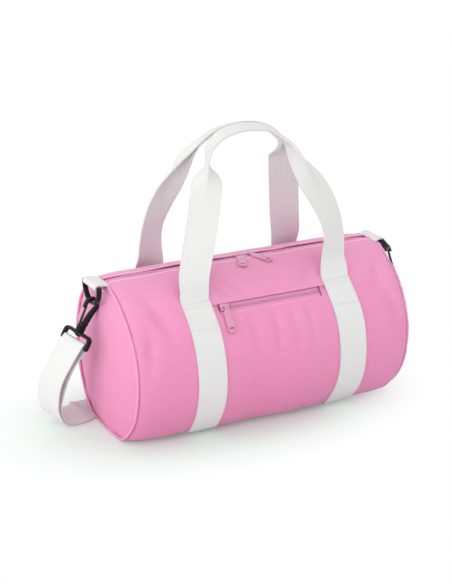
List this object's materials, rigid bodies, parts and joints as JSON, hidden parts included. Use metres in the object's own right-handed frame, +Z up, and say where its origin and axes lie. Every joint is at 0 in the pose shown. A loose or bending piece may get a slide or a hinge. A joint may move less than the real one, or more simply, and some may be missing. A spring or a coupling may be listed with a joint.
{
  "type": "barrel bag",
  "caption": "Round fabric barrel bag with webbing carrying handles, a zip along its crest, a zipped front pocket and a shoulder strap on swivel snap hooks.",
  "frame": {"origin": "on the floor under the middle of the barrel, at the centre of the flat that the bag rests on", "axes": "+X along the barrel to the right as seen from the pocket side, -Y towards the pocket side, +Z up"},
  "size_m": [0.5194, 0.2254, 0.3706],
  "materials": {
    "bag_fabric": "plain woven polyester, matt with a slight sheen",
    "piping": "folded fabric over a cord",
    "lining": "thin plain fabric",
    "webbing": "white woven webbing, matt",
    "zip_tape": "pink woven tape",
    "zip_coil": "pink moulded coil",
    "zip_metal": "pink enamel on die-cast metal",
    "black_plastic": "satin moulded acetal"
  },
  "bodies": {
    "root": {"barrel_panel": "bag_fabric", "pocket_panel": "bag_fabric", "left_end_panel": "bag_fabric", "right_end_panel": "bag_fabric", "left_piping": "piping", "right_piping": "piping", "left_seam_binding": "lining", "right_seam_binding": "lining", "pocket_lining": "lining", "main_zip_tape_front": "zip_tape", "main_zip_tape_back": "zip_tape", "main_zip_coil_front": "zip_coil", "main_zip_coil_back": "zip_coil", "pocket_zip_tape_upper": "zip_tape", "pocket_zip_tape_lower": "zip_tape", "pocket_zip_coil_upper": "zip_coil", "pocket_zip_coil_lower": "zip_coil", "left_strap": "webbing", "right_strap": "webbing", "left_ring_tab": "webbing", "right_ring_tab": "webbing", "left_hook_base": "black_plastic", "right_hook_base": "black_plastic", "shoulder_strap": "webbing"},
    "front_handle": {"front_handle": "webbing"},
    "back_handle": {"back_handle": "webbing"},
    "main_slider_left": {"main_slider_left": "zip_metal"},
    "main_slider_right": {"main_slider_right": "zip_metal"},
    "pocket_slider": {"pocket_slider": "zip_metal"},
    "main_puller_left": {"main_puller_left": "zip_metal"},
    "main_puller_right": {"main_puller_right": "zip_metal"},
    "pocket_puller": {"pocket_puller": "zip_metal"},
    "left_ring": {"left_ring": "black_plastic"},
    "right_ring": {"right_ring": "black_plastic"},
    "left_hook": {"left_hook": "black_plastic"},
    "right_hook": {"right_hook": "black_plastic"},
    "left_hook_gate": {"left_hook_gate": "black_plastic"},
    "right_hook_gate": {"right_hook_gate": "black_plastic"},
    "strap_adjuster": {"strap_adjuster": "black_plastic"}
  },
  "joints": [
    {"name": "front_handle_hinge", "type": "hinge", "parent": "root", "child": "front_handle", "pos_m": [0, -0.06407, 0.17918], "axis": [1, 0, 0], "range_deg": [0, 114]},
    {"name": "back_handle_hinge", "type": "hinge", "parent": "root", "child": "back_handle", "pos_m": [0, 0.06407, 0.17918], "axis": [-1, 0, 0], "range_deg": [0, 114]},
    {"name": "main_slider_left_run", "type": "slide", "parent": "root", "child": "main_slider_left", "axis": [-1, 0, 0], "range_m": [0, 0.143]},
    {"name": "main_slider_right_run", "type": "slide", "parent": "root", "child": "main_slider_right", "axis": [1, 0, 0], "range_m": [0, 0.131]},
    {"name": "pocket_slider_run", "type": "slide", "parent": "root", "child": "pocket_slider", "axis": [1, 0, 0], "range_m": [0, 0.127]},
    {"name": "main_puller_left_swing", "type": "hinge", "parent": "main_slider_left", "child": "main_puller_left", "pos_m": [-0.00025, 0, 0.19987], "axis": [-1, 0, 0], "range_deg": [0, 160]},
    {"name": "main_puller_right_swing", "type": "hinge", "parent": "main_slider_right", "child": "main_puller_right", "pos_m": [0.01225, 0, 0.19987], "axis": [-1, 0, 0], "range_deg": [0, 160]},
    {"name": "pocket_puller_swing", "type": "hinge", "parent": "pocket_slider", "child": "pocket_puller", "pos_m": [-0.0635, -0.07991, 0.16684], "axis": [-1, 0, 0], "range_deg": [0, 160]},
    {"name": "left_ring_swing", "type": "hinge", "parent": "root", "child": "left_ring", "pos_m": [-0.205, 0, 0.1935], "axis": [0, 1, 0], "range_deg": [-1.5, 3]},
    {"name": "left_hook_swivel", "type": "hinge", "parent": "root", "child": "left_hook", "pos_m": [-0.22284, 0, 0.13585], "axis": [0.4695, 0, 0.8829], "range_deg": [-12, 12]},
    {"name": "left_gate_press", "type": "hinge", "parent": "left_hook", "child": "left_hook_gate", "pos_m": [-0.22163, 0, 0.14749], "axis": [0, 1, 0], "range_deg": [0, 18], "stiffness_Nm_per_rad": 0.05, "springref_deg": -11.46},
    {"name": "right_ring_swing", "type": "hinge", "parent": "root", "child": "right_ring", "pos_m": [0.2, 0, 0.1935], "axis": [0, 1, 0], "range_deg": [-1.5, 3]},
    {"name": "right_hook_swivel", "type": "hinge", "parent": "root", "child": "right_hook", "pos_m": [0.22973, 0, 0.13981], "axis": [-0.3746, 0, 0.9272], "range_deg": [-12, 12]},
    {"name": "right_gate_press", "type": "hinge", "parent": "right_hook", "child": "right_hook_gate", "pos_m": [0.22974, 0, 0.15151], "axis": [0, -1, 0], "range_deg": [0, 18], "stiffness_Nm_per_rad": 0.05, "springref_deg": -11.46},
    {"name": "adjuster_run", "type": "slide", "parent": "root", "child": "strap_adjuster", "axis": [1, 0, 0], "range_m": [-0.038, 0.038]}
  ]
}
